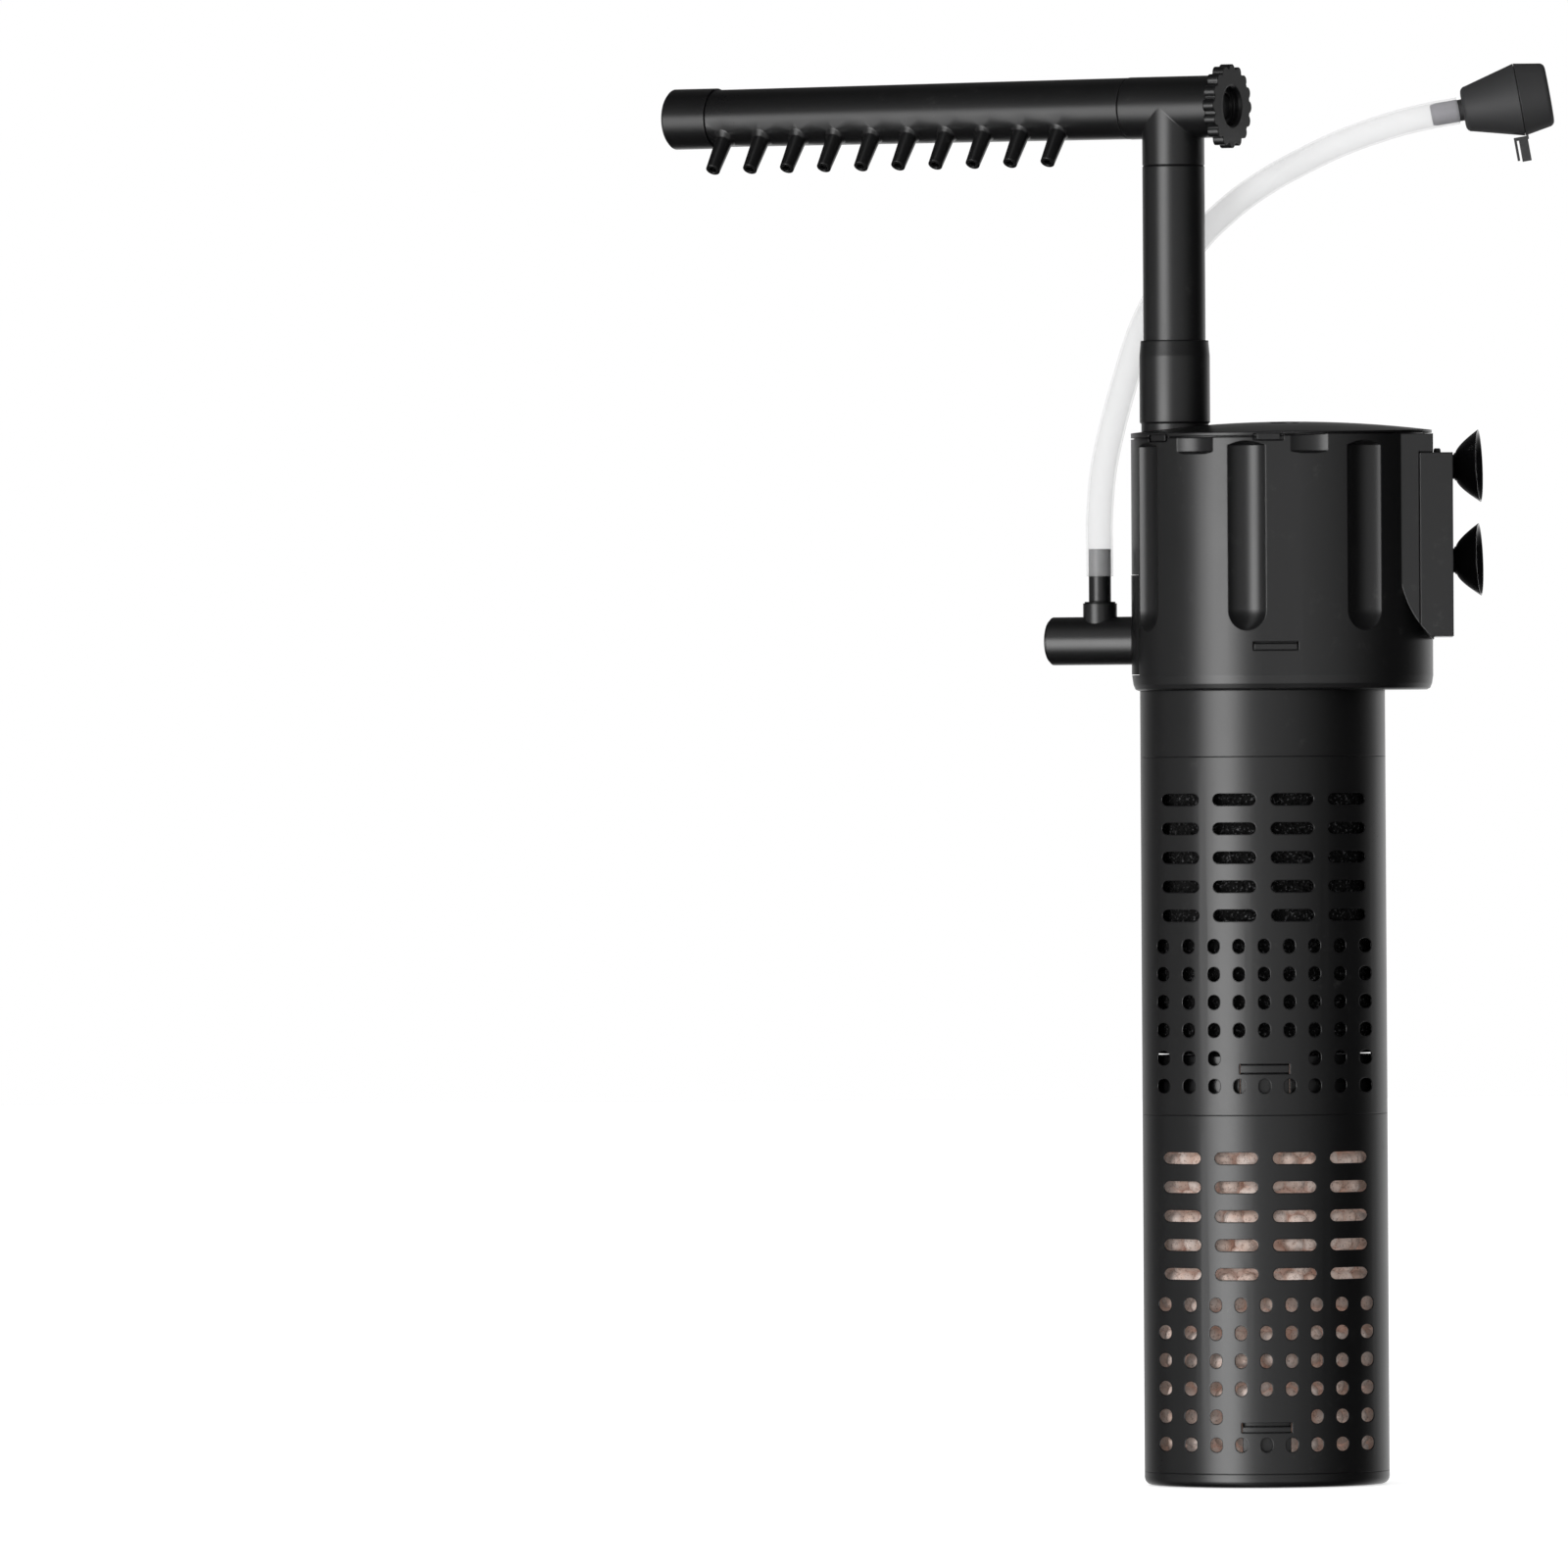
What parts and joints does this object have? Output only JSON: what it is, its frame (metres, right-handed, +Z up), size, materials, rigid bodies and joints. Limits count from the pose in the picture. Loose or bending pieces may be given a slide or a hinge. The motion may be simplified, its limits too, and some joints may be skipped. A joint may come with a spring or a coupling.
{
  "type": "submersible aquarium filter",
  "caption": "Upright internal aquarium filter: perforated media baskets under a pump head with a swivel outlet, air tube, suction bracket and a riser with a spray bar.",
  "frame": {"origin": "centre of the foot's flat underside, on the axis of the baskets", "axes": "+X towards the suction cups, +Y towards the side behind the latch windows that face the viewer, +Z up"},
  "size_m": [0.2299, 0.1065, 0.3624],
  "materials": {
    "basket_plastic": "satin black moulded plastic",
    "head_plastic": "satin black moulded plastic, fine texture",
    "inner_plastic": "dark grey moulded plastic",
    "valve_rubber": "matt charcoal soft plastic",
    "cup_rubber": "glossy black flexible vinyl",
    "seal_rubber": "black rubber",
    "sponge": "open-cell black filter foam",
    "ceramic": "porous beige-pink bio-ceramic pieces",
    "hose": "translucent milky hose",
    "laminations": "stacked electrical steel",
    "copper": "enamelled copper winding",
    "magnet": "ferrite magnet",
    "shaft_ceramic": "ground white ceramic",
    "impeller_plastic": "white moulded plastic"
  },
  "bodies": {
    "base": {"base_cap": "basket_plastic", "base_latches": "basket_plastic"},
    "lower_stage": {"lower_basket": "basket_plastic", "lower_latches": "basket_plastic", "ceramic_media": "ceramic"},
    "upper_stage": {"upper_basket": "basket_plastic", "upper_latches": "basket_plastic", "filter_sponge": "sponge", "intake_collar": "basket_plastic", "head_latches": "basket_plastic"},
    "head": {"pump_housing": "head_plastic", "top_lid": "head_plastic", "intake_plate": "inner_plastic", "pump_chamber": "inner_plastic", "outlet_chamber": "inner_plastic", "cord_gland": "seal_rubber", "riser_socket": "head_plastic", "motor_case": "inner_plastic", "stator_core": "laminations", "stator_coils": "copper", "rotor_well": "inner_plastic", "rotor_shaft": "shaft_ceramic", "lower_bush": "seal_rubber", "upper_bush": "seal_rubber", "air_tube": "hose", "air_valve": "valve_rubber"},
    "rotor": {"impeller": "impeller_plastic", "rotor_magnet": "magnet"},
    "outlet": {"outlet_nozzle": "head_plastic"},
    "bracket": {"suction_bracket": "head_plastic", "suction_cups": "cup_rubber"},
    "riser": {"riser_pipe": "head_plastic", "riser_seal": "seal_rubber", "tee": "head_plastic"},
    "bar": {"spray_bar": "head_plastic", "bar_seal": "seal_rubber", "bar_end_cap": "head_plastic"},
    "dial": {"flow_dial": "head_plastic", "dial_seal": "seal_rubber"},
    "cap": {"valve_cap": "valve_rubber"}
  },
  "joints": [
    {"name": "foot_lift", "type": "slide", "parent": "base", "child": "lower_stage", "axis": [0, 0, 1], "range_m": [0, 0.04], "deforming": ["base_latches"]},
    {"name": "basket_lift", "type": "slide", "parent": "lower_stage", "child": "upper_stage", "axis": [0, 0, 1], "range_m": [0, 0.04], "deforming": ["lower_latches"]},
    {"name": "head_lift", "type": "slide", "parent": "upper_stage", "child": "head", "axis": [0, 0, 1], "range_m": [0, 0.04], "deforming": ["head_latches"]},
    {"name": "rotor_spin", "type": "hinge", "parent": "head", "child": "rotor", "pos_m": [0.0185, 0, 0.22], "axis": [0, 0, 1], "continuous": true},
    {"name": "outlet_swing", "type": "hinge", "parent": "head", "child": "outlet", "pos_m": [-0.0185, 0, 0.2153], "axis": [0, 0, 1], "range_deg": [0, 35], "deforming": ["air_tube"]},
    {"name": "bracket_slide", "type": "slide", "parent": "head", "child": "bracket", "axis": [0, 0, -1], "range_m": [0, 0.04]},
    {"name": "riser_turn", "type": "hinge", "parent": "head", "child": "riser", "pos_m": [-0.0219, 0, 0.3], "axis": [0, 0, 1], "range_deg": [-90, 150]},
    {"name": "bar_turn", "type": "hinge", "parent": "riser", "child": "bar", "pos_m": [-0.0219, 0, 0.3512], "axis": [-0.8886, 0.4587, 0], "range_deg": [-90, 90]},
    {"name": "dial_turn", "type": "hinge", "parent": "riser", "child": "dial", "pos_m": [-0.0219, 0, 0.3512], "axis": [0.8886, -0.4587, 0], "range_deg": [-90, 90]},
    {"name": "cap_turn", "type": "hinge", "parent": "head", "child": "cap", "pos_m": [0.05103, 0.01271, 0.3504], "axis": [0.9848, 0, 0.1736], "range_deg": [-120, 120]}
  ]
}
